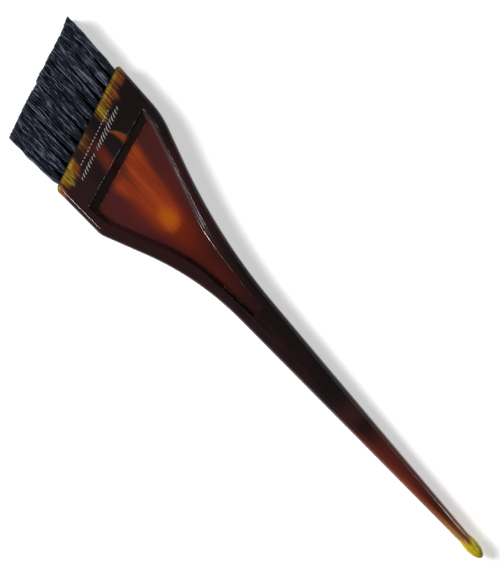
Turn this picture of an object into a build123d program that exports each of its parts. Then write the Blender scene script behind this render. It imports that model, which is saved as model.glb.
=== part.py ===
"""Tint brush: a slant-headed hair colouring brush with a tapered tail.

The brush lies on its back. +X runs from the tail to the bristle tips, +Y is the short side
of the slanted head, +Z points up from the front face. The origin is the middle of the
brush's footprint, on the surface it lies on. Stations are measured along X from the tail's end.
"""

import os
from math import cos, radians, sin, tan

from build123d import *

os.makedirs("parts", exist_ok=True)

# ---- driving dimensions, mm ----
overall_length = 215.0
head_thickness = 9.2
slant = 21.3                     # of the bristle face and of the trimmed tips, degrees
mouth_station = 184.6            # where the bristle face crosses the handle's axis
bristle_length = 22.3            # outside the head, along the handle's axis

# tail
tail_half_thickness = 1.8
tail_slope = 0.0398              # growth of the half width per mm of station
tail_root_half = 1.53            # half width that the taper would have at station 0
tail_bulb_radius = 2.2
tail_bulb_length = 10.4
bar_start = 5.0                  # inside the bulb

# flare from the tail to the head: where its straight flank starts and ends, and its rounding
short_flare_foot = (125.5, 6.52)
short_shoulder = (156.3, 20.2)
short_flare_radius = 96.0
short_shoulder_radius = 7.0
long_flare_foot = (130.65, 6.73)
long_shoulder = (171.3, 19.75)
long_flare_radius = 194.0
long_shoulder_radius = 33.0
short_side_half = 21.0           # half width at the bristle face
long_side_half = 20.1

# side profile
throat_station = 106.0
throat_half_thickness = 3.5
block_start = 146.0              # the head is at its full thickness from here on
throat_blend = 120.0
block_blend = 90.0

edge_radius = 1.5
mouth_edge_radius = 0.4

# thumb recess, one in each face: stations and half widths of its floor
panel_web = 2.8                  # plastic left between the two floors
panel_end = 105.6                # blunt end towards the tail
panel_short_end = 1.4
panel_long_end = 1.6
short_bend = (131.5, 3.5)
long_bend = (136.1, 4.5)
panel_short_shoulder = (158.4, 15.2)
panel_long_shoulder = (170.3, 14.6)
panel_short_half = 15.9
panel_long_half = 15.0
panel_top = 168.1                # where the floor meets the step, on the axis
step_slant = 18.8                # of the step, a little less than the bristle face's, degrees
step_run = 3.2                   # how far the step leans back over the recess's depth
wall_run = 1.2                   # the same for the side walls
end_radius = 1.2
bend_radius = 60.0
shoulder_radius = 4.0
corner_radius = 1.6

# bristle tufts
tuft_pitch = 3.55
row_pitch = 2.6
tufts_in_outer_row = 11
tufts_in_middle_row = 10
hole_radius = 1.15
hole_depth = 6.5
hole_clearance = 0.02
tuft_tip_radius = 1.27
field_centre = 0.55              # middle of the bristle field, across the head
short_side_lean = 3.7            # the outermost tufts lean outward, degrees
long_side_lean = -1.7

# flat anchor wires that hold the tufts in their holes
anchor_length = 2.7
anchor_width = 1.5
anchor_thickness = 0.3
anchor_depth = 5.0               # of the wire's middle below the bristle face

mid_height = head_thickness / 2
slant_rise = tan(radians(slant))
tuft_radius = hole_radius - hole_clearance
mean_lean = (short_side_lean + long_side_lean) / 2
lean_spread = short_side_lean - long_side_lean
hole_mouth_allowance = 2.0       # the drill starts this far outside the slanted face
free_length = bristle_length + 5.0   # before the tips are trimmed
side_reach = 60.0                # wider than the head, for cutting shapes


def at(station):
    """X of a station measured from the tail's end."""
    return station - overall_length / 2


def slanted_plane(station):
    """Plane parallel to the bristle face, through a station on the axis, facing the tips."""
    normal = (cos(radians(slant)), sin(radians(slant)), 0)
    return Plane(origin=(at(station), 0, mid_height), x_dir=(0, 0, 1), z_dir=normal)


# ---- places of the tufts ----
def tuft_plane(y, z):
    """Plane at a tuft's root on the bristle face, its normal along the tuft."""
    across = (y - field_centre) / (tuft_pitch * (tufts_in_outer_row - 1))
    lean = radians(mean_lean + lean_spread * across)
    root = (at(mouth_station - slant_rise * y), y, z)
    return Plane(origin=root, x_dir=(0, 0, 1), z_dir=(cos(lean), sin(lean), 0))


def tuft_row(count, z):
    """Planes of one row of tufts, from the long side to the short side."""
    middle = (count - 1) / 2
    return [tuft_plane(field_centre + (i - middle) * tuft_pitch, z) for i in range(count)]


def anchor_at(plane):
    """Flat wire lying across a tuft's hole, near its bottom."""
    with BuildPart(plane.offset(-anchor_depth)) as wire:
        Box(anchor_thickness, anchor_length, anchor_width)
    return wire.part


tuft_rows = {
    "front": tuft_row(tufts_in_outer_row, mid_height + row_pitch),
    "middle": tuft_row(tufts_in_middle_row, mid_height),
    "back": tuft_row(tufts_in_outer_row, mid_height - row_pitch),
}
all_tuft_planes = [plane for planes in tuft_rows.values() for plane in planes]


# ---- handle ----
def taper_half(station):
    return tail_root_half + tail_slope * station


def side_outline(side, foot, shoulder, edge_half):
    """Corner points of one side of the handle, from the bar's start to the bristle face."""
    mouth = mouth_station - slant_rise * side * edge_half
    return [
        (at(bar_start), side * taper_half(bar_start)),
        (at(foot[0]), side * foot[1]),
        (at(shoulder[0]), side * shoulder[1]),
        (at(mouth), side * edge_half),
    ]


def recess_outline(spread):
    """Recess outline: spread 0 is its floor and 1 is its edge at the head's face."""
    out = wall_run * spread
    top = panel_top + step_run * spread
    rise = tan(radians(step_slant))
    short_half, long_half = panel_short_half + out, panel_long_half + out
    corners = [
        (panel_end - out, panel_short_end + out, end_radius),
        (short_bend[0] - out / 3, short_bend[1] + out, bend_radius),
        (panel_short_shoulder[0] - out / 4, panel_short_shoulder[1] + out, shoulder_radius),
        (top - rise * short_half, short_half, corner_radius),
        (top + rise * long_half, -long_half, corner_radius),
        (panel_long_shoulder[0] - out / 4, -panel_long_shoulder[1] - out, shoulder_radius),
        (long_bend[0] - out / 3, -long_bend[1] - out, bend_radius),
        (panel_end - out, -panel_long_end - out, end_radius),
    ]
    height = mid_height + panel_web / 2 + spread * (head_thickness - panel_web) / 2
    with BuildSketch(Plane.XY.offset(height)) as outline:
        with BuildLine():
            Polyline(*[(at(station), y) for station, y, radius in corners], close=True)
        make_face()
        for station, y, radius in corners:
            vertex = outline.vertices().sort_by_distance(Vector(at(station), y))[0]
            fillet(vertex, radius)
    return outline.sketch


short_side = side_outline(1, short_flare_foot, short_shoulder, short_side_half)
long_side = side_outline(-1, long_flare_foot, long_shoulder, long_side_half)
side_blends = [
    (short_flare_foot, 1, short_flare_radius),
    (short_shoulder, 1, short_shoulder_radius),
    (long_flare_foot, -1, long_flare_radius),
    (long_shoulder, -1, long_shoulder_radius),
]

# the recess is one lofted cutter, mirrored for the back
past_face = 1.15
with BuildPart() as front_cutter:
    add(recess_outline(0))
    add(recess_outline(past_face))
    loft(ruled=True)
back_cutter = front_cutter.part.mirror(Plane.XY.offset(mid_height))

with BuildPart() as handle:
    # plan view
    with BuildSketch(Plane.XY) as plan:
        with BuildLine():
            Polyline(*short_side, *reversed(long_side), close=True)
        make_face()
        for (station, half), side, radius in side_blends:
            vertex = plan.vertices().sort_by_distance(Vector(at(station), side * half))[0]
            fillet(vertex, radius)
    extrude(amount=head_thickness)

    # side view: thin at the tail, full thickness at the head
    with BuildSketch(Plane.XZ.offset(-side_reach / 2)) as profile:
        with BuildLine():
            upper = [
                (at(bar_start), mid_height + tail_half_thickness),
                (at(throat_station), mid_height + throat_half_thickness),
                (at(block_start), head_thickness),
                (at(overall_length), head_thickness),
            ]
            lower = [(x, head_thickness - z) for x, z in upper]
            Polyline(*upper, *reversed(lower), close=True)
        make_face()
        for side_points in (upper, lower):
            for (x, z), radius in zip(side_points[1:3], (throat_blend, block_blend)):
                corner = profile.vertices().sort_by_distance(Vector(x, -side_reach / 2, z))[0]
                fillet(corner, radius)
    extrude(amount=side_reach, mode=Mode.INTERSECT)

    # soft edges: everything that runs lengthwise, then the rim of the bristle face
    fillet(handle.edges().filter_by(lambda edge: abs(edge.tangent_at(0.5).X) > 0.6), edge_radius)
    fillet(handle.faces().sort_by(Axis.X)[-1].edges(), mouth_edge_radius)

    # rounded, slightly swollen end of the tail
    with BuildSketch(Plane.XZ) as bulb:
        with Locations((at(tail_bulb_length / 2), mid_height)):
            Ellipse(tail_bulb_length / 2, tail_bulb_radius)
            Rectangle(tail_bulb_length, tail_bulb_radius, align=(Align.CENTER, Align.MAX),
                      mode=Mode.SUBTRACT)
    revolve(axis=Axis((0, 0, mid_height), (1, 0, 0)))

    # thumb recesses
    add(front_cutter.part, mode=Mode.SUBTRACT)
    add(back_cutter, mode=Mode.SUBTRACT)

    # one blind hole for each tuft, with nicks where the ends of its anchor wire bite in
    for plane in all_tuft_planes:
        with BuildSketch(plane.offset(hole_mouth_allowance)):
            Circle(hole_radius)
        extrude(amount=-(hole_depth + hole_mouth_allowance), mode=Mode.SUBTRACT)
        add(anchor_at(plane), mode=Mode.SUBTRACT)

handle.part.label = "handle"
export_step(handle.part, "parts/handle.step")


# ---- tufts and anchor wires, row by row ----
for row_name, planes in tuft_rows.items():
    for number, plane in enumerate(planes, start=1):
        with BuildPart() as tuft:
            # the folded end, packed into its hole
            with BuildSketch(plane):
                Circle(tuft_radius)
            extrude(amount=-hole_depth)
            # the free end spreads towards the tips and is trimmed along the slant
            with BuildSketch(plane):
                Circle(tuft_radius)
            with BuildSketch(plane.offset(free_length)):
                Circle(tuft_tip_radius)
            loft()
            split(bisect_by=slanted_plane(mouth_station + bristle_length), keep=Keep.BOTTOM)
            # the filaments part around the wire that holds them
            add(anchor_at(plane), mode=Mode.SUBTRACT)
        tuft.part.label = f"tuft_{row_name}_{number:02d}"
        export_step(tuft.part, f"parts/{tuft.part.label}.step")

    wires = Compound(children=[anchor_at(plane) for plane in planes])
    wires.label = f"anchor_wires_{row_name}"
    export_step(wires, f"parts/{wires.label}.step")
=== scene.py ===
"""Tint brush: the looks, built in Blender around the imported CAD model.

Everything is in metres in the CAD frame. The shapes are worked out in millimetres from
stations, which are measured along X from the tail's end, and scaled once when a mesh is made.
"""

import math

import bmesh
import bpy
import numpy as np
from mathutils import Matrix, Vector
from mathutils.geometry import delaunay_2d_cdt


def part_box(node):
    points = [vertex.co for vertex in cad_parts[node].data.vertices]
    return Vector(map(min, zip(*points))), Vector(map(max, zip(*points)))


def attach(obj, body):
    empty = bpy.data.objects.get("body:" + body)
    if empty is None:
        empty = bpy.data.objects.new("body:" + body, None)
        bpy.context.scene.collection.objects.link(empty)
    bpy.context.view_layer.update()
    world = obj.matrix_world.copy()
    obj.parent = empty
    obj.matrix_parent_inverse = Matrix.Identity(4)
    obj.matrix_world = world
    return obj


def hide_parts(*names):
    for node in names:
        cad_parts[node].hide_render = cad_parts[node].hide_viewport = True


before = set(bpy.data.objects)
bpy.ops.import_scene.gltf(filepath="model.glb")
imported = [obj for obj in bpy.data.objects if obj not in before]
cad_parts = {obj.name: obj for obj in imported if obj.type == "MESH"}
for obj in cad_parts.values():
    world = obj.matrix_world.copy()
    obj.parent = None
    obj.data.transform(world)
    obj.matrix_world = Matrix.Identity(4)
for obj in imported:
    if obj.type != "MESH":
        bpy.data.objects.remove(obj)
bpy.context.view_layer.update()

MM = 0.001
handle_low, handle_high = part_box("handle")
TAIL_X = handle_low[0] / MM
THICKNESS = (handle_high[2] - handle_low[2]) / MM
MIDDLE = THICKNESS / 2

# ---- driving dimensions, mm, as in the CAD ----
SLANT = math.radians(21.3)
SLANT_RISE = math.tan(SLANT)
MOUTH = 184.6                    # station of the bristle face on the handle's axis
BRISTLE_LENGTH = 22.3

# (station, half width) of the outline's corners on each side, and of its side view's corners
SHORT_SIDE = [(5.0, 1.73), (125.5, 6.52), (156.3, 20.2), (176.4, 21.0), (196.0, 21.8)]
SHORT_RADII = [96.0, 7.0, 0.0]
LONG_SIDE = [(5.0, 1.73), (130.65, 6.73), (171.3, 19.75), (192.4, 20.1), (200.0, 20.2)]
LONG_RADII = [194.0, 33.0, 0.0]
BULB_LENGTH, BULB_RADIUS = 10.4, 2.2
SIDE_PROFILE = [(5.0, 1.8), (106.0, 3.5), (146.0, MIDDLE), (200.0, MIDDLE)]
PROFILE_RADII = [120.0, 90.0]

# thumb recess: where its floor starts and meets the step, and the corners of its two sides
WEB = 2.8                        # plastic between the two recesses
PANEL_END, PANEL_TOP = 105.6, 168.1
STEP_RISE = math.tan(math.radians(18.8))
SHORT_PANEL = [(PANEL_END, 1.4), (131.5, 3.5), (158.4, 15.2), (162.7, 15.9)]
LONG_PANEL = [(PANEL_END, 1.6), (136.1, 4.5), (170.3, 14.6), (173.2, 15.0)]
PANEL_RADII = [60.0, 4.0]
STEP_RUN, WALL_RUN = 3.2, 1.2    # how far the step and the side walls lean over their height

TUFT_PITCH, ROW_PITCH, FIELD_CENTRE = 3.55, 2.6, 0.55
SHORT_LEAN, LONG_LEAN = math.radians(3.7), math.radians(-1.7)    # of the outermost tufts
HOLE_RADIUS, HOLE_DEPTH = 1.15, 6.5
ROWS = {"front": (11, ROW_PITCH), "middle": (10, 0.0), "back": (11, -ROW_PITCH)}

# ---- rounding in the visual model, mm ----
BULB_BLEND = 0.25                # where the tail's round end meets its bar
LIP_ROUND, FLOOR_ROUND = 0.5, 0.28   # the recess's lip and the corner at its floor
RECESS_CORNERS = 0.3             # rounding between the recess's sides, as a share of their run
TAIL_EDGE, HEAD_EDGE_LESS = 2.3, 0.8   # edge radius at the tail, and how much less at the head
MOUTH_ROUND, MOUTH_CORNER = 0.45, 1.1  # the bristle face's rim and its two outer corners


# ---- numbers ----
def smoothstep(low, high, x):
    """0 below low, 1 above high, and smooth between."""
    t = np.clip((x - low) / (high - low), 0.0, 1.0)
    return t * t * (3 - 2 * t)


def soft_min(a, b, width):
    """Smaller of two values, with the corner between them rounded over width."""
    h = np.clip(0.5 + (b - a) / (2 * width), 0.0, 1.0)
    return b + (a - b) * h - width * h * (1 - h)


def soft_max(a, b, width):
    """Larger of two values, with the corner between them rounded over width."""
    return -soft_min(-a, -b, width)


def rounded_path(corners, radii, arc_points=24):
    """Points along a polyline whose inner corners are rounded to the given radii."""
    corners = [np.array(c, float) for c in corners]
    path = [corners[0]]
    for before, corner, after, radius in zip(corners, corners[1:], corners[2:], radii):
        if radius <= 0:
            path.append(corner)
            continue
        a = (before - corner) / np.linalg.norm(before - corner)
        b = (after - corner) / np.linalg.norm(after - corner)
        half_angle = math.acos(np.clip(a @ b, -1, 1)) / 2
        reach = radius / math.tan(half_angle)
        centre = corner + (a + b) / np.linalg.norm(a + b) * radius / math.sin(half_angle)
        start, end = corner + a * reach - centre, corner + b * reach - centre
        sweep = math.pi - 2 * half_angle
        for t in np.linspace(0, 1, arc_points):
            weights = np.array([math.sin((1 - t) * sweep), math.sin(t * sweep)]) / math.sin(sweep)
            path.append(centre + weights[0] * start + weights[1] * end)
    path.append(corners[-1])
    return np.array(path)


def curve_of(corners, radii):
    """Function of station that follows a rounded path."""
    path = rounded_path(corners, radii)
    return lambda station: np.interp(station, path[:, 0], path[:, 1])


# ---- shape of the handle ----
def with_bulb(side):
    """Half width of one side, with the tail's swollen round end blended in."""
    def half(station):
        along = np.clip(np.asarray(station, float), 0.0, None)
        bulb_at = np.clip((along - BULB_LENGTH / 2) / (BULB_LENGTH / 2), -1.0, 1.0)
        bulb = BULB_RADIUS * np.sqrt(1 - bulb_at**2)
        bar = side(along)
        blended = soft_max(bulb, bar, BULB_BLEND)
        return np.where(along < BULB_LENGTH / 2, bulb, blended)
    return half


short_half = with_bulb(curve_of(SHORT_SIDE, SHORT_RADII))
long_half = with_bulb(curve_of(LONG_SIDE, LONG_RADII))
thick_half = with_bulb(curve_of(SIDE_PROFILE, PROFILE_RADII))


def lean_of_section(station):
    """How much a ring leans: askew at the tail's end, then square, then slanted at the head."""
    askew = 0.25 * (1 - smoothstep(0.0, 9.0, station))
    return askew + SLANT_RISE * smoothstep(112.0, 164.0, station)


def corner_setback(station, from_side):
    """How far the bristle face's two outer corners are rounded back."""
    gap = np.clip(MOUTH_CORNER - from_side, 0.0, MOUTH_CORNER)
    setback = MOUTH_CORNER - np.sqrt(MOUTH_CORNER**2 - gap**2)
    return smoothstep(MOUTH - 4, MOUTH, station) * setback


def reach_of(side, half, station):
    """Where a leaning section meets a curve given as a half width: the lateral coordinate."""
    y = side * half(station)
    for _ in range(12):
        y = side * half(station - lean_of_section(station) * y)
    return y


def edge_radius(station):
    """Rounding of the handle's edges: a round tail, tighter along the head."""
    narrow = np.minimum(short_half(station), thick_half(station))
    return np.minimum(0.96 * narrow, TAIL_EDGE - HEAD_EDGE_LESS * smoothstep(60.0, 135.0, station))


def panel_edge(corners, spread):
    """Rounded side of the thumb recess: spread 0 is the floor and 1 is the edge at the face."""
    out = WALL_RUN * spread
    back = [out, out / 3, out / 4, 0.0]
    return curve_of([(x - b, y + out) for (x, y), b in zip(corners, back)], PANEL_RADII)


panel_floor = {1: panel_edge(SHORT_PANEL, 0.0), -1: panel_edge(LONG_PANEL, 0.0)}
panel_lip = {1: panel_edge(SHORT_PANEL, 1.0), -1: panel_edge(LONG_PANEL, 1.0)}
FULL_DEPTH = (THICKNESS - WEB) / 2


def within_recess(station, y):
    """1 on the floor of the thumb recess, falling to 0 at its edge on the head's face."""
    inside = (PANEL_TOP + STEP_RUN - station - STEP_RISE * y) / STEP_RUN
    inside = soft_min(inside, (station - PANEL_END + WALL_RUN) / WALL_RUN, RECESS_CORNERS)
    for side in (1, -1):
        lip, floor = panel_lip[side](station), panel_floor[side](station)
        inside = soft_min(inside, (lip - side * y) / (lip - floor), RECESS_CORNERS)
    return inside


def recess_height(station, y):
    """Height above the middle plane of the surface that cuts the thumb recess."""
    rising = WEB / 2 + (1 - within_recess(station, y)) * FULL_DEPTH
    return soft_max(rising, WEB / 2, FLOOR_ROUND)


def breakpoints(side, half, station):
    """Half widths that the mesh's lines follow on one side: outline, flat, recess lip and floor.

    The last two keep shares of the flat apart, so that the lines don't cross where there is no
    recess.
    """
    width = abs(reach_of(side, half, station))
    flat = width - edge_radius(station)
    floor = np.clip(side * reach_of(side, panel_floor[side], station), 0.12 * flat, 0.88 * flat)
    lip = np.clip(side * reach_of(side, panel_lip[side], station), floor + 0.08 * flat, 0.97 * flat)
    return width, flat, lip, floor


ARC = np.linspace(0, np.pi / 2, 9)     # steps round an edge
FLAT_STEPS, WALL_STEPS, FLOOR_STEPS = 8, 15, 29   # points across each strip of the face


def face_line(station):
    """Points across the front face of one ring, from the short side to the long side."""
    radius, height = edge_radius(station), thick_half(station)
    arc_in, arc_up = radius * (1 - np.cos(ARC)), radius * (np.sin(ARC) - 1)
    width_s, flat_s, lip_s, floor_s = breakpoints(1, short_half, station)
    width_l, flat_l, lip_l, floor_l = breakpoints(-1, long_half, station)
    y = np.concatenate([
        width_s - arc_in,
        np.linspace(flat_s, lip_s, FLAT_STEPS)[1:],
        np.linspace(lip_s, floor_s, WALL_STEPS)[1:],
        np.linspace(floor_s, -floor_l, FLOOR_STEPS)[1:],
        np.linspace(-floor_l, -lip_l, WALL_STEPS)[1:],
        np.linspace(-lip_l, -flat_l, FLAT_STEPS)[1:],
        (arc_in - width_l)[::-1][1:],
    ])
    z = np.full(len(y), float(height))
    z[:len(ARC)] += arc_up
    z[-len(ARC):] += arc_up[::-1]
    x = station - lean_of_section(station) * y
    z = soft_min(z, recess_height(x, y), LIP_ROUND)
    return x - corner_setback(station, np.minimum(width_s - y, y + width_l)), y, z


def ring_at(station, inset=0.0):
    """Closed ring of points around the handle, drawn in by inset: front face, then back face."""
    x, y, z = face_line(station)
    middle = (y[0] + y[-1]) / 2
    y_in = middle + (y - middle) * (1 - 2 * inset / (y[0] - y[-1]))
    z_in = z * (1 - inset / z.max())
    x_in = x + lean_of_section(station) * (y - y_in)
    front = np.column_stack([x_in, y_in, MIDDLE + z_in])
    back = np.column_stack([x_in, y_in, MIDDLE - z_in])[::-1]
    return np.vstack([front, back])


def ring_stations():
    """Where the rings stand: close together at the tip, the recess's step and the mouth."""
    round_tip = BULB_LENGTH / 2 * (1 - np.cos(np.linspace(0.06, np.pi / 2, 15)))
    return np.concatenate([
        round_tip,
        np.linspace(5.6, 16.0, 20),
        np.linspace(17.0, 103.0, 62),
        np.linspace(103.4, 106.9, 29),
        np.linspace(107.3, 112.0, 12),
        np.linspace(112.5, 163.0, 110),
        np.linspace(163.3, 174.5, 52),
        np.linspace(175.0, MOUTH - MOUTH_ROUND, 18),
    ])


# ---- meshes ----
def make_piece(name, points, faces, material, sharp_above=40):
    """Mesh object from points in station millimetres, riding on the brush's one body."""
    places = (np.asarray(points, float) + (TAIL_X, 0, 0)) * MM
    mesh = bpy.data.meshes.new(name)
    mesh.from_pydata(places.tolist(), [], faces)
    mesh.materials.append(material)
    shape = bmesh.new()
    shape.from_mesh(mesh)
    bmesh.ops.recalc_face_normals(shape, faces=shape.faces)
    shape.to_mesh(mesh)
    shape.free()
    mesh.polygons.foreach_set("use_smooth", np.ones(len(mesh.polygons), bool))
    mesh.set_sharp_from_angle(angle=math.radians(sharp_above))
    mesh.update()
    piece = bpy.data.objects.new(name, mesh)
    bpy.context.collection.objects.link(piece)
    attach(piece, "root")
    return piece


def point_values(piece, name, values):
    """Stores one number per point, which a material reads by name."""
    attribute = piece.data.attributes.new(name, "FLOAT", "POINT")
    attribute.data.foreach_set("value", np.asarray(values, np.float32))


def tube_faces(first, rings, around):
    """Quads between rings of points that follow one another from index first."""
    faces = []
    for r in range(rings - 1):
        a, b = first + r * around, first + (r + 1) * around
        for i in range(around):
            j = (i + 1) % around
            faces.append((a + i, a + j, b + j, b + i))
    return faces


def tuft_places():
    """Name, lateral place, height above the middle plane and lean of every tuft."""
    places = []
    for row, (count, height) in ROWS.items():
        for i in range(count):
            offset = (i - (count - 1) / 2) * TUFT_PITCH
            across = offset / (TUFT_PITCH * (ROWS["front"][0] - 1))
            lean = (SHORT_LEAN + LONG_LEAN) / 2 + (SHORT_LEAN - LONG_LEAN) * across
            places.append((f"tuft_{row}_{i + 1:02d}", FIELD_CENTRE + offset, height, lean))
    return places


def hole_rings(y, height, lean, around=20):
    """Rim of a tuft's hole on the bristle face, and the circle at its bottom."""
    turn = np.linspace(0, 2 * np.pi, around, endpoint=False)
    side, up = HOLE_RADIUS * np.cos(turn), HOLE_RADIUS * np.sin(turn)
    axis = np.array([math.cos(lean), math.sin(lean), 0])
    across = np.array([-math.sin(lean), math.cos(lean), 0])
    root = np.array([MOUTH - SLANT_RISE * y, y, MIDDLE + height])
    circle = root + np.outer(side, across) + np.outer(up, (0, 0, 1))
    rim = circle - np.outer(side * math.tan(SLANT - lean), axis)
    return rim, circle - HOLE_DEPTH * axis


def drilled_face(points, loops):
    """Triangles of the bristle face, inside the first loop of point indices and outside the rest."""
    used = [index for loop in loops for index in loop]
    flat = [Vector((points[i][1] / math.cos(SLANT), points[i][2] - MIDDLE)) for i in used]
    place = {index: k for k, index in enumerate(used)}
    edges = [(place[a], place[b]) for loop in loops for a, b in zip(loop, loop[1:] + loop[:1])]
    triangles, source = delaunay_2d_cdt(flat, edges, [], 0, 1e-6)[2:4]
    owners = [used[ids[0]] for ids in source]
    loop_of = {index: k for k, loop in enumerate(loops) for index in loop}
    kept = []
    for triangle in triangles:
        corners = tuple(owners[k] for k in triangle)
        touched = {loop_of[c] for c in corners}
        if touched == {0} or len(touched) > 1:
            kept.append(corners)
    return kept


def handle_piece(material):
    """The moulding: rings from tail to mouth, the drilled bristle face and its holes."""
    rings = [ring_at(station) for station in ring_stations()]
    for angle in np.linspace(0, np.pi / 2, 6):
        station = MOUTH - MOUTH_ROUND * (1 - math.sin(angle))
        rings.append(ring_at(station, MOUTH_ROUND * (1 - math.cos(angle))))
    around = len(rings[0])
    points = [(0.0, 0.0, MIDDLE)] + [p for ring in rings for p in ring]
    faces = [(0, 1 + (i + 1) % around, 1 + i) for i in range(around)]
    faces += tube_faces(1, len(rings), around)

    loops = [list(range(len(points) - around, len(points)))]
    for _, y, height, lean in tuft_places():
        rim, bottom = hole_rings(y, height, lean)
        first, count = len(points), len(rim)
        points += list(rim) + list(bottom)
        loops.append(list(range(first, first + count)))
        faces += [face[::-1] for face in tube_faces(first, 2, count)]
        faces.append(tuple(range(first + count, first + 2 * count)))
    faces += drilled_face(points, loops)

    handle = make_piece("handle_moulding", points, faces, material)
    x, y, z = np.array(points).T
    point_values(handle, "recess", np.clip(within_recess(x, y), 0, 1))
    return handle


# ---- bristles ----
FILAMENT_RADIUS = 0.12
SIDES = 6                        # of a filament's section
PACKING = 0.25                   # distance between filaments in a hole
SHANK = 2.5                      # how far down its hole a filament is modelled
LENGTH_STEPS = 21                # points along a filament outside its hole
SPREAD_ACROSS = 2.05             # half width of a tuft's patch at the tips
OUTER_SPREAD_UP, MIDDLE_SPREAD_UP = 1.6, 1.8   # its half height, in the outer and middle rows
OUTER_SHIFT = 0.15               # the outer rows' tips move this far from the middle plane
MIDDLE_FANNING = 0.09            # the shorter middle row fans out by this share of its width
EARLY_SPREAD = 0.42              # under 1, so that filaments spread soon after leaving the head
SHORT_TIP_EDGE, LONG_TIP_EDGE = 20.8, -18.4    # sides of the whole brush of filaments at the tips
TIP_EDGE_ROUND = 0.8
TRIM_SHORT = 0.3                 # the cut tips stop this far before the CAD's
CLUMPS = 10                      # groups in a tuft whose filaments lie together
CLUMP_CRIMP, OWN_CRIMP = 0.13, 0.07    # half heights of the waves along a filament
BRISTLES_HALF = MIDDLE - FILAMENT_RADIUS - 0.02    # no filament's middle goes beyond this height
SHEEN_EDGE = 0.9                  # the filaments this close to the short side's edge are paler: painted light
FIRST_SEED = 1000                # of the tufts' random numbers, one seed for each tuft


def packed_in_hole(rng):
    """Filament places in a round hole: a hexagonal packing, a little disturbed."""
    reach = HOLE_RADIUS - FILAMENT_RADIUS - 0.01
    steps = np.arange(-6, 7)
    a, b = np.meshgrid(steps, steps)
    places = np.column_stack([(a + b / 2).ravel(), (b * math.sqrt(3) / 2).ravel()]) * PACKING
    places += rng.uniform(-0.12, 0.12, 2)
    return places[np.hypot(*places.T) < reach]


def square_from_disc(places, radius):
    """Stretches points of a disc towards a square, so that neighbouring tufts meet."""
    unit = places / radius
    reach = np.hypot(*unit.T)
    largest = np.maximum(np.abs(unit).max(axis=1), 1e-6)
    return unit * (1 + 0.75 * (reach / largest - 1))[:, None]


def fan_out(packed, rng):
    """Places in the tuft's patch at the tips, -1 to 1 each way, and the clump of each filament."""
    fan = square_from_disc(packed, HOLE_RADIUS - FILAMENT_RADIUS)
    centres = rng.uniform(-0.95, 0.95, (CLUMPS, 2))
    clump = np.argmin(((fan[:, None] - centres[None]) ** 2).sum(axis=2), axis=1)
    pull = rng.uniform(0.05, 0.45, CLUMPS)[clump, None]
    return fan + pull * (centres[clump] - fan) + rng.normal(0, 0.12, fan.shape), clump


def tip_places(y, height, lean, fan):
    """Lateral places and heights of a tuft's tips."""
    spread_up = OUTER_SPREAD_UP if height else MIDDLE_SPREAD_UP
    fanning = 0.0 if height else y * MIDDLE_FANNING
    tip_y = y + fanning + math.tan(lean) * BRISTLE_LENGTH + fan[:, 0] * SPREAD_ACROSS
    tip_y = soft_min(tip_y, SHORT_TIP_EDGE, TIP_EDGE_ROUND)
    tip_y = soft_max(tip_y, LONG_TIP_EDGE, TIP_EDGE_ROUND)
    return tip_y, height + OUTER_SHIFT * np.sign(height) + fan[:, 1] * spread_up


def centre_lines(y, height, lean, rng):
    """Stations, lateral places and heights along each filament, its tip's place and its clump."""
    packed = packed_in_hole(rng)
    count = len(packed)
    fan, clump = fan_out(packed, rng)
    tip_y, tip_z = tip_places(y, height, lean, fan)
    root_y, root_z = y + packed[:, 0], height + packed[:, 1]
    root_x = MOUTH - SLANT_RISE * root_y
    trim = rng.normal(0, 0.15, count) + rng.normal(0, 0.2) - TRIM_SHORT
    tip_x = MOUTH + BRISTLE_LENGTH - SLANT_RISE * tip_y + trim

    # t runs from below the bristle face (negative) through the face (0) to the tips (1)
    t = np.concatenate([[-SHANK / BRISTLE_LENGTH], np.linspace(0, 1, LENGTH_STEPS)])[:, None]
    free = np.clip(t, 0, None)
    sway = smoothstep(0.0, 0.3, t)
    x = root_x + (tip_x - root_x) * t
    clump_wave = 2 * np.pi * (x - MOUTH) / rng.uniform(7.0, 13.0, CLUMPS)[clump]
    own_wave = 2 * np.pi * (x - MOUTH) / rng.uniform(3.5, 7.0, count)
    clump_phase = rng.uniform(0, 2 * np.pi, (CLUMPS, 2))[clump]
    own_phase = rng.uniform(0, 2 * np.pi, (count, 2))
    bow = rng.normal(0, 0.14, (count, 2))
    centre = []
    for k, (root, tip) in enumerate(((root_y, tip_y), (root_z, tip_z))):
        straight = root + (tip - root) * free**EARLY_SPREAD
        crimp = CLUMP_CRIMP * np.sin(clump_wave + clump_phase[:, k])
        crimp = crimp + OWN_CRIMP * np.sin(own_wave + own_phase[:, k])
        centre.append(straight + sway * crimp + bow[:, k] * np.sin(np.pi * free))
    lateral = centre[0] + np.minimum(t, 0) * BRISTLE_LENGTH * math.tan(lean)
    return x, lateral, np.clip(centre[1], -BRISTLES_HALF, BRISTLES_HALF), tip_y, clump


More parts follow.
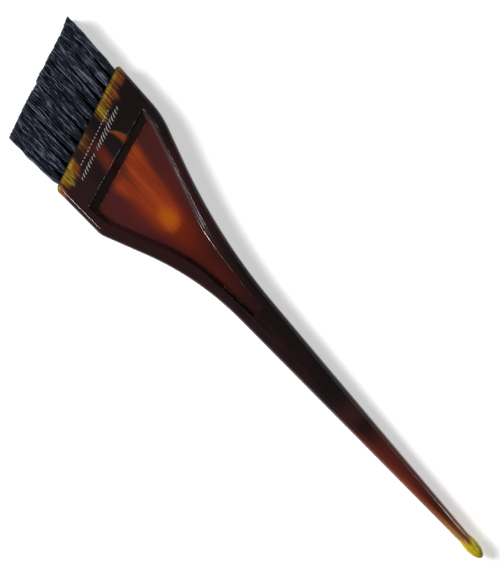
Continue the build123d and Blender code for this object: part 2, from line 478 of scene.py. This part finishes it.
def bundle(name, y, height, lean, material, rng):
    """One tuft: filaments from their hole to the slanting trim, splayed, crimped and clumped."""
    x, lateral, up, tip_y, clump = centre_lines(y, height, lean, rng)
    rings, count = x.shape
    turn = np.linspace(0, 2 * np.pi, SIDES, endpoint=False)
    around_y, around_z = FILAMENT_RADIUS * np.cos(turn), FILAMENT_RADIUS * np.sin(turn)
    clump_shade = rng.uniform(0, 1, CLUMPS)[clump]
    own_shade = rng.uniform(0, 1, count)
    points, faces, shades = [], [], []
    for k in range(count):
        first = len(points)
        for ring_x, ring_y, ring_z in zip(x[:, k], lateral[:, k], up[:, k]):
            points += [(ring_x, ring_y + dy, MIDDLE + ring_z + dz)
                       for dy, dz in zip(around_y, around_z)]
        faces += tube_faces(first, rings, SIDES)
        faces.append(tuple(range(first, first + SIDES)))
        faces.append(tuple(range(len(points) - SIDES, len(points))))
        # filaments near the short side's edge get painted light, stored in their shade
        edge_sheen = 0.6 * smoothstep(SHORT_TIP_EDGE - SHEEN_EDGE, SHORT_TIP_EDGE, tip_y[k])
        shades += [0.2 * clump_shade[k] + 0.8 * own_shade[k] + edge_sheen] * (rings * SIDES)
    piece = make_piece(name, points, faces, material, sharp_above=65)
    point_values(piece, "shade", shades)
    return piece


# ---- printed ornament ----
FOIL_PROUD, FOIL_SUNK = 0.02, 0.03
STROKE_PITCH, STROKE_HALF_WIDTH = 1.1, 0.16
STROKE_ANGLE = math.radians(68)
STROKE_DEPTH = 6.6               # of the strokes' middles behind the bristle face
STROKE_BANDS = [(12.4, 4.4, 1.9), (2.6, -11.0, 2.5)]   # from y, to y, the longest stroke
DASH_START, DASH_END, DASH_PITCH = 10.0, -8.5, 1.1
DASH_LENGTH, DASH_HALF_WIDTH = 0.5, 0.14
DASH_DEPTHS = (4.1, 4.0)         # of a dash's two ends behind the bristle face


def ribbon(line, half_width):
    """Points and faces of a low ribbon along a line of (station, y) places on the head's face."""
    line = np.array(line)
    along = np.gradient(line, axis=0)
    along /= np.linalg.norm(along, axis=1)[:, None]
    across = np.column_stack([-along[:, 1], along[:, 0]]) * np.reshape(half_width, (-1, 1))
    outline = np.vstack([line + across, (line - across)[::-1]])
    points = [(*p, z) for z in (THICKNESS - FOIL_SUNK, THICKNESS + FOIL_PROUD) for p in outline]
    count, last = len(outline), len(outline) - 1
    faces = tube_faces(0, 2, count)
    for start in (0, count):
        faces += [(start + i, start + i + 1, start + last - i - 1, start + last - i)
                  for i in range(len(line) - 1)]
    return points, faces


def behind_mouth(depth, y):
    """Place on the head's face at a distance behind the bristle face."""
    return MOUTH - SLANT_RISE * y - depth, y


def stroke(base, length):
    """Places along the middle of a slightly curved stroke, and its half width at each."""
    t = np.linspace(0, 1, 9)
    along = np.array([math.sin(STROKE_ANGLE), -math.cos(STROKE_ANGLE)])
    across = np.array([-along[1], along[0]])
    bow = 0.10 * length * np.sin(math.pi * t)
    line = np.array(base) + np.outer((t - 0.5) * length, along) + np.outer(bow, across)
    return line, STROKE_HALF_WIDTH * np.sin(math.pi * (0.07 + 0.86 * t)) ** 0.7


def stroke_band(from_y, to_y, longest):
    """A row of slanting strokes beside the bristle face, longest in the row's middle."""
    ribbons = []
    for y in np.arange(from_y, to_y, -STROKE_PITCH):
        swell = 0.55 + 0.45 * math.sin(math.pi * (from_y - y) / (from_y - to_y))
        ribbons.append(ribbon(*stroke(behind_mouth(STROKE_DEPTH, y), longest * swell)))
    return ribbons


def printed_ornament(material):
    """Two bands of strokes in light foil and a row of small dashes: a plain pattern, no lettering."""
    ribbons = []
    for band in STROKE_BANDS:
        ribbons += stroke_band(*band)
    for y in np.arange(DASH_START, DASH_END, -DASH_PITCH):
        ends = [behind_mouth(depth, at) for depth, at in zip(DASH_DEPTHS, (y, y - DASH_LENGTH))]
        ribbons.append(ribbon(ends, DASH_HALF_WIDTH))
    points, faces = [], []
    for ribbon_points, ribbon_faces in ribbons:
        first = len(points)
        points += ribbon_points
        faces += [tuple(first + i for i in face) for face in ribbon_faces]
    return make_piece("printed_ornament", points, faces, material)


# ---- materials ----
def linear(r, g, b):
    """Linear colour of an sRGB colour given in 0 to 255."""
    return tuple(c / 255 / 12.92 if c / 255 <= 0.04045 else ((c / 255 + 0.055) / 1.055) ** 2.4
                 for c in (r, g, b)) + (1.0,)


class Field:
    """A number that varies over a surface: a node's output, with arithmetic."""

    def __init__(self, tree, socket):
        self.tree, self.socket = tree, socket

    def _math(self, operation, *others, clamp=False):
        node = self.tree.nodes.new("ShaderNodeMath")
        node.operation, node.use_clamp = operation, clamp
        for place, value in zip(node.inputs, (self, *others)):
            if isinstance(value, Field):
                self.tree.links.new(value.socket, place)
            else:
                place.default_value = value
        return Field(self.tree, node.outputs[0])

    def __add__(self, other):
        return self._math("ADD", other)

    def __sub__(self, other):
        return self._math("SUBTRACT", other)

    def __mul__(self, other):
        return self._math("MULTIPLY", other)

    def __truediv__(self, other):
        return self._math("DIVIDE", other)

    def __rsub__(self, other):
        return self._math("MULTIPLY_ADD", -1.0, other)

    def abs(self):
        return self._math("ABSOLUTE")

    def power(self, exponent):
        return self._math("POWER", exponent)

    def at_least(self, other):
        return self._math("MAXIMUM", other)

    def at_most(self, other):
        return self._math("MINIMUM", other)

    def rise(self, low, high):
        """0 at low and 1 at high, smooth between; low may be the larger."""
        node = self.tree.nodes.new("ShaderNodeMapRange")
        node.interpolation_type = "SMOOTHSTEP"
        for name, value in (("Value", self), ("From Min", low), ("From Max", high)):
            if isinstance(value, Field):
                self.tree.links.new(value.socket, node.inputs[name])
            else:
                node.inputs[name].default_value = value
        return Field(self.tree, node.outputs["Result"])

    def bump_at(self, centre, width):
        """1 at centre, falling to 0 at width either side."""
        return (self - centre).abs().rise(width, 0.0)


def coordinates(tree, vector):
    """The three coordinates of a vector socket, as fields."""
    node = tree.nodes.new("ShaderNodeSeparateXYZ")
    tree.links.new(vector, node.inputs[0])
    return [Field(tree, socket) for socket in node.outputs]


class Surface:
    """A material being made: its coordinates in station millimetres, noises and colour mixes."""

    def __init__(self, name):
        self.material = bpy.data.materials.new(name)
        self.material.use_nodes = True
        self.tree = self.material.node_tree
        self.shader = self.tree.nodes["Principled BSDF"]
        place = self.tree.nodes.new("ShaderNodeNewGeometry").outputs["Position"]
        x, y, z = coordinates(self.tree, place)
        self.station = x / MM - TAIL_X
        self.y = y / MM
        self.height = z / MM - MIDDLE

    def attribute(self, name):
        """A number stored per point of the mesh."""
        node = self.tree.nodes.new("ShaderNodeAttribute")
        node.attribute_name = name
        return Field(self.tree, node.outputs["Fac"])

    def noise(self, scales, detail=2.0, roughness=0.5, offset=(0, 0, 0)):
        """Noise of about 0 to 1 whose grain is 1/scale millimetres along X, Y and Z."""
        combine = self.tree.nodes.new("ShaderNodeCombineXYZ")
        for k, (field, scale) in enumerate(zip((self.station, self.y, self.height), scales)):
            self.tree.links.new((field * scale + offset[k]).socket, combine.inputs[k])
        node = self.tree.nodes.new("ShaderNodeTexNoise")
        node.inputs["Scale"].default_value = 1.0
        node.inputs["Detail"].default_value = detail
        node.inputs["Roughness"].default_value = roughness
        self.tree.links.new(combine.outputs[0], node.inputs["Vector"])
        return Field(self.tree, node.outputs["Fac"])

    def mix(self, base, over, amount):
        """Colour base with colour over laid on it where amount is 1."""
        node = self.tree.nodes.new("ShaderNodeMix")
        node.data_type = "RGBA"
        for socket, value in ((node.inputs[6], base), (node.inputs[7], over)):
            if isinstance(value, tuple):
                socket.default_value = value
            else:
                self.tree.links.new(value, socket)
        self.tree.links.new(amount.socket, node.inputs[0])
        return node.outputs[2]

    def set(self, **values):
        """Sets the shader's sockets: constants directly, fields and colours by a link."""
        for name, value in values.items():
            socket = self.shader.inputs[name.replace("_", " ")]
            if isinstance(value, Field):
                self.tree.links.new(value.socket, socket)
            elif hasattr(value, "is_output"):
                self.tree.links.new(value, socket)
            else:
                socket.default_value = value

    def bump(self, height, distance, strength):
        """Fine relief that the shader's normal follows."""
        node = self.tree.nodes.new("ShaderNodeBump")
        node.inputs["Strength"].default_value = strength
        node.inputs["Distance"].default_value = distance
        self.tree.links.new(height.socket, node.inputs["Height"])
        self.tree.links.new(node.outputs["Normal"], self.shader.inputs["Normal"])


STUDIO_GAIN, GLOSS_LIFT = 0.88, 0.0004   # how the studio light turns a base colour into a seen one
DARKEST = 0.0012


def seen(r, g, b):
    """Base colour that shows as about this sRGB colour under the studio light."""
    return tuple(max(c / STUDIO_GAIN - GLOSS_LIFT, DARKEST) for c in linear(r, g, b)[:3]) + (1.0,)


def tail_colours(s, station, y, base):
    """Near black at the neck, then red-brown, then amber along the edges, and a yellow tip."""
    off_axis = (y + 0.25).abs()

    # red-brown, with painted light making it warmer on the short side, and a core of its own near the
    # tip
    painted_light_side = s.mix(seen(112, 50, 33), seen(88, 40, 28), station.rise(32, 46))
    plain_red = s.mix(seen(80, 34, 28), painted_light_side, y.rise(0.0, 2.4))
    core_red = s.mix(seen(66, 30, 26), seen(112, 54, 33), station.rise(20, 10))
    red = s.mix(plain_red, core_red, off_axis.rise(0.9, 0.2) * station.rise(34, 22))

    # it gives way to the black of the neck, later along the edges than on the axis
    warm_neck = s.mix(base, seen(52, 30, 30), station.bump_at(62.0, 8.0))
    bend = off_axis.at_most(4.0).power(2.0) * 0.5
    colour = s.mix(warm_neck, red, (station - bend).rise(56.5, 43.5))

    # amber on both sides of a core that widens up the tail, and clouded yellow at the tip
    beside_core = (off_axis - (station - 4.0) * 0.045).rise(-0.05, 0.7)
    amber = s.mix(seen(148, 106, 54), seen(140, 86, 44), station.rise(12, 20))
    colour = s.mix(colour, amber, beside_core * station.rise(31.0, 9.0))
    # painted light: the yellow is lighter towards the long side
    cloud = s.noise((0.45, 0.6, 0.6), detail=2.0, offset=(4, 4, 2)) - y * 0.1
    yellow = s.mix(seen(176, 152, 8), seen(206, 182, 26), cloud.rise(0.35, 0.65))
    return s.mix(colour, yellow, (station - off_axis * 2.0).rise(6.2, 3.4))


def recess_colours(s, station, y):
    """Floor of the thumb recess: maroon sides, a red tail and the amber band, a painted glow of light
    through the thin web.
    """
    side = s.mix(seen(42, 23, 23), seen(70, 32, 31), station.rise(134, 151))

    # red towards the neck, strongest on a middle line
    from_middle = (y - 0.6).abs() / ((station - 106.0) * 0.13 + 2.3)
    strength = station.rise(103, 124) * 0.25 + station.rise(126, 147) * 0.75
    red = s.mix(side, seen(116, 37, 18), strength * from_middle.rise(1.25, 0.0))
    colour = s.mix(red, side, station.rise(150, 163))

    # the amber band, a painted glow: within its two sides and its round end, streaked, dimmer at the
    # step
    short_edge = (y - (station - 155.0).at_least(0.0) * 0.24 - 4.8).rise(2.2, -1.6)
    long_edge = (y + (station - 148.0) * 0.16 + 3.5).rise(-1.8, 1.2)
    round_end = (station - (y - 0.9).power(2.0) * 0.11).rise(139.5, 144.0)
    streak = s.noise((0.03, 0.42, 0.3), detail=2.0, offset=(2, 9, 4))
    amber = s.mix(seen(122, 47, 24), seen(146, 58, 29), streak.rise(0.36, 0.64))
    amber = s.mix(amber, seen(88, 36, 24), y.bump_at(1.9, 1.5) * station.rise(154, 166) * 0.8)
    near_step = (y * STEP_RISE + station - PANEL_TOP).rise(-3.2, -0.4) * y.rise(-2.5, 0.5)
    colour = s.mix(colour, amber, short_edge * long_edge * round_end)
    colour = s.mix(colour, side, near_step * 0.5)

    # the bright spot at the band's round end: a painted glow
    from_glow_spot = ((station - 145.4) / 5.2).power(2.0) + ((y - 0.9) / 3.0).power(2.0)
    return s.mix(colour, seen(167, 84, 14), from_glow_spot.rise(1.35, -0.4))


def mouth_colours(s, station, y, base):
    """Painted light behind the bristle face: short streaks of yellow and amber between the tufts."""
    depth = MOUTH - station - y * SLANT_RISE
    streak = s.noise((0.12, 3.1, 0.4), detail=2.0, offset=(5, 2, 8)).rise(0.42, 0.60)
    reach = s.noise((0.02, 0.6, 0.4), detail=1.0, offset=(1, 7, 4))

    # places across the head that are yellow, and that get painted light at all
    yellow = y.bump_at(15.2, 3.0).at_least(y.bump_at(-6.3, 3.2)).at_least(depth.rise(2.2, 0.9) * 0.7)
    lit = y.bump_at(15.4, 3.4).at_least(y.bump_at(-6.3, 3.2)).at_least(y.rise(9.6, 11.6) * 0.9)
    lit = lit.at_least(y.bump_at(4.4, 3.4) * 0.6).at_least(y.rise(-7.0, -9.0) * 0.85)

    fade = (depth - streak * 1.2 - reach * 4.0).rise(2.6, 0.0) * depth.rise(0.0, 0.8)
    dim = s.mix(seen(60, 30, 21), seen(72, 48, 23), yellow)
    bright = s.mix(seen(132, 76, 32), seen(170, 144, 46), yellow)
    return s.mix(base, s.mix(dim, bright, streak), lit * fade)


def head_colours(s, station, y, base):
    """Colours of the solid head behind the mouth: red zone, amber wedge, dark elsewhere."""
    neutral = station.bump_at(173.0, 7.0).rise(0.0, 0.6) * y.rise(13.0, 9.0)
    colour = s.mix(base, seen(30, 23, 24), neutral * 0.7)
    red_zone = (y - 3.0 + (station - 173.0) * 0.12).abs().rise(3.3, 0.2) * station.rise(181, 175)
    colour = s.mix(colour, seen(88, 36, 28), red_zone * station.rise(163, 168))

    # the wedge starts at the step, narrows towards the mouth and curves to the short side
    wedge_middle = (station - 173.0).at_least(0.0).power(1.8) * 0.11 - 6.1
    half_width = (181.0 - station) * 0.23
    wedge = ((y - wedge_middle).abs() / half_width).rise(1.15, 0.3) * station.rise(179.6, 177.0)
    wedge = wedge * station.rise(171.6, 173.2)
    return s.mix(colour, seen(112, 56, 30), wedge)


def wall_colours(s, y):
    """Walls of the recess: dark at the neck, and the step with two painted bands of light from the
    head.
    """
    at_step = s.station.rise(163, 168)
    # painted light: lighter towards the head, where the steep walls get less light than the floor
    colour = s.mix(seen(30, 19, 20), seen(68, 54, 55), s.station.rise(122, 150))
    # two painted bands of light on the step
    colour = s.mix(colour, seen(84, 38, 32), at_step * y.bump_at(-5.6, 2.4))
    return s.mix(colour, seen(76, 34, 29), at_step * y.bump_at(2.6, 2.6))


def tortoiseshell():
    """Polished translucent plastic: near black where thick, maroon and amber where lit through, that
    light painted into its colour.
    """
    s = Surface("tortoiseshell_plastic")

    # the patterns follow slightly wandering coordinates, so that no edge of colour is exact
    drift = s.noise((0.05, 0.2, 0.2), detail=2.0) - 0.5
    grain = s.noise((0.10, 0.9, 0.6), detail=3.0, offset=(7, 3, 1)) - 0.5
    station = s.station + drift * 5.0 + grain * 3.0
    y = s.y + drift * 0.8 + grain * 0.5
    recess = s.attribute("recess")

    dark = s.mix(seen(28, 21, 22), seen(42, 26, 27), (grain + y * 0.05).rise(-0.08, 0.30))
    dark = s.mix(dark, seen(43, 24, 25), s.station.rise(118, 138) * s.station.rise(166, 158))
    colour = tail_colours(s, station, y, dark)
    colour = head_colours(s, station, y, colour)
    colour = mouth_colours(s, s.station, s.y + grain * 0.4, colour)
    colour = s.mix(colour, wall_colours(s, y), recess.rise(0.05, 0.4))
    colour = s.mix(colour, recess_colours(s, station, y), recess.rise(0.72, 0.98))

    smudge = s.noise((0.08, 0.11, 0.1), detail=4.0, roughness=0.65, offset=(1, 6, 3))
    s.set(Base_Color=colour, Roughness=smudge * 0.10 + 0.05, IOR=1.49)
    waves = s.noise((0.10, 0.28, 0.3), detail=2.0, offset=(3, 3, 3))
    scratches = s.noise((0.25, 7.0, 5.0), detail=3.0, offset=(9, 1, 5))
    s.bump(waves + scratches * 0.012, distance=0.12 * MM, strength=0.5)
    return s.material


def filament_nylon():
    """Black nylon: blue-black, with satin streaks of painted sheen that come and go along the crimped
    filaments.
    """
    s = Surface("black_nylon")
    shade = s.attribute("shade")
    streak = s.noise((0.22, 1.9, 1.9), detail=1.0)
    painted_sparkle = s.noise((2.2, 2.6, 2.6), detail=1.0, offset=(3, 5, 7))
    from_mouth = s.station + s.y * SLANT_RISE - MOUTH
    shaded = from_mouth.rise(7.0, 0.0) * 0.17    # painted shade: darker where the filaments leave the head
    # lighter streaks: partly the filaments' own random tone, partly painted sheen and sparkle
    light = (shade * 0.45 + streak * 2.1 + painted_sparkle * 0.7 - shaded - 1.57).rise(0.0, 0.5)
    colour = s.mix(seen(20, 23, 35), seen(100, 107, 126), light)
    # paler grey on the filaments at the short side's edge: painted light
    colour = s.mix(colour, seen(128, 134, 142), shade.rise(0.9, 1.5))
    s.set(Base_Color=colour, Roughness=0.46 - light * 0.12, IOR=1.53, Specular_IOR_Level=0.3)
    return s.material


def foil_print():
    """Light grey hot foil, slightly worn."""
    s = Surface("foil_print")
    wear = s.noise((1.6, 1.6, 1.6), detail=4.0)
    colour = s.mix(linear(176, 172, 176), linear(92, 84, 86), wear.rise(0.5, 0.72))
    s.set(Base_Color=colour, Roughness=wear * 0.3 + 0.3, Metallic=0.3)
    return s.material


def wire_metal():
    """Drawn brass wire."""
    s = Surface("anchor_wire_brass")
    drawn = s.noise((0.6, 6.0, 6.0), detail=2.0)
    colour = s.mix(linear(150, 120, 60), linear(200, 165, 95), drawn)
    s.set(Base_Color=colour, Metallic=1.0, Roughness=drawn * 0.15 + 0.25)
    return s.material


# ---- the brush ----
shell, nylon, brass = tortoiseshell(), filament_nylon(), wire_metal()
moulding = handle_piece(shell)
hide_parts("handle")
ornament = printed_ornament(foil_print())

for number, (node, y, height, lean) in enumerate(tuft_places()):
    rng = np.random.default_rng(FIRST_SEED + number)
    bristles = bundle(node.replace("tuft", "bristles"), y, height, lean, nylon, rng)
    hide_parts(node)

for row in ROWS:
    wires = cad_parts[f"anchor_wires_{row}"]
    for material_slot in wires.material_slots:
        material_slot.material = brass


# ---- stage, light and camera ----
FLOOR_SIZE, FLOOR_DROP = 4.0, 0.0002
FLOOR_GREY, FLOOR_GLOW = 0.8, 0.55


def floor_plane():
    """Pale floor that glows a little, so that it shows as white as the photo's background."""
    mesh = bpy.data.meshes.new("floor")
    half = FLOOR_SIZE / 2
    mesh.from_pydata([(-half, -half, 0), (half, -half, 0), (half, half, 0), (-half, half, 0)],
                     [], [(0, 1, 2, 3)])
    paper = bpy.data.materials.new("pale_floor")
    paper.use_nodes = True
    shader = paper.node_tree.nodes["Principled BSDF"]
    shader.inputs["Base Color"].default_value = (FLOOR_GREY, FLOOR_GREY, FLOOR_GREY, 1)
    shader.inputs["Roughness"].default_value = 0.9
    shader.inputs["Emission Color"].default_value = (1, 1, 1, 1)
    shader.inputs["Emission Strength"].default_value = FLOOR_GLOW
    mesh.materials.append(paper)
    floor = bpy.data.objects.new("floor", mesh)
    bpy.context.collection.objects.link(floor)
    floor.location.z = -FLOOR_DROP


# Small lights that only gloss shows. Each stands where one edge or lip of the handle mirrors it
# towards the camera: name, place, size (metres) and power (watts).
GLOSS_LIGHTS = [
    ("rim_line", (0.116, 0.42, 1.15), (0.034, 0.08), 0.6),
    ("lip_line_neck", (0.29, 0.93, 1.15), (0.05, 0.08), 1.5),
    ("lip_line_head", (0.395, 0.91, 1.15), (0.014, 0.08), 1.0),
    ("step_line", (-0.788, -0.304, 0.75), (0.018, 0.10), 0.14),
    ("tail_line", (-0.275, -0.88, 0.75), (0.05, 0.05), 0.7),
    ("short_corner", (-0.518, -0.532, 0.75), (0.06, 0.06), 2.0),
    ("long_corner", (-0.479, 0.561, 0.75), (0.06, 0.06), 2.0),
]
MAIN_PLACE = (0.65, 0.55, 0.85)


def softbox(name, place, size, power, mirrored=True, lights_up=True):
    """Area light aimed at the origin; it can be left out of reflections or of diffuse light."""
    light = bpy.data.lights.new(name, "AREA")
    light.shape = "RECTANGLE"
    light.size, light.size_y = size
    light.energy = power
    lamp = bpy.data.objects.new(name, light)
    lamp.location = place
    lamp.rotation_euler = (-Vector(place)).to_track_quat("-Z", "Y").to_euler()
    lamp.visible_glossy = mirrored
    lamp.visible_diffuse = lights_up
    bpy.context.collection.objects.link(lamp)


ROLL = math.radians(47.6)        # of the handle's axis, below the picture's horizontal
VIEW_HEIGHT = 184.8015           # mm of the brush's plane that the picture's height covers
VIEW_CENTRE = (111.26, -2.30)    # station and lateral place at the middle of the picture
CAMERA_HEIGHT = 1.0              # metres above the brush's middle plane
SENSOR_HEIGHT = 24.0


def add_camera():
    """Looks straight down, turned so that the brush lies from upper left to lower right."""
    data = bpy.data.cameras.new("camera")
    data.sensor_fit = "VERTICAL"
    data.sensor_height = SENSOR_HEIGHT
    data.lens = SENSOR_HEIGHT * CAMERA_HEIGHT / (VIEW_HEIGHT * MM)
    camera = bpy.data.objects.new("camera", data)
    right = Vector((-math.cos(ROLL), -math.sin(ROLL), 0))
    up = Vector((math.sin(ROLL), -math.cos(ROLL), 0))
    camera.matrix_world = Matrix((right, up, (0, 0, 1))).transposed().to_4x4()
    camera.location = ((VIEW_CENTRE[0] + TAIL_X) * MM, VIEW_CENTRE[1] * MM,
                       CAMERA_HEIGHT + MIDDLE * MM)
    bpy.context.collection.objects.link(camera)
    bpy.context.scene.camera = camera


def dim_room():
    """Soft light from all round, weaker towards +X and +Y, with a dark ceiling right above."""
    world = bpy.data.worlds.new("studio")
    world.use_nodes = True
    tree = world.node_tree
    background = tree.nodes["Background"]
    direction = tree.nodes.new("ShaderNodeTexCoord").outputs["Generated"]
    x, y, z = coordinates(tree, direction)
    light = z.rise(0.82, 0.45) * (0.50 - y * 0.20 - x * 0.20) + 0.03
    tree.links.new(light.socket, background.inputs["Strength"])
    bpy.context.scene.world = world


floor_plane()
softbox("main", MAIN_PLACE, (0.5, 0.5), 15.5, mirrored=False)
softbox("corner_glint", MAIN_PLACE, (0.2, 0.2), 2.0)
softbox("long_side", (-0.05, -1.0, 0.62), (0.6, 0.06), 0.5)
for gloss_light in GLOSS_LIGHTS:
    softbox(*gloss_light, lights_up=False)
dim_room()
add_camera()
bpy.context.scene.view_settings.view_transform = "Standard"
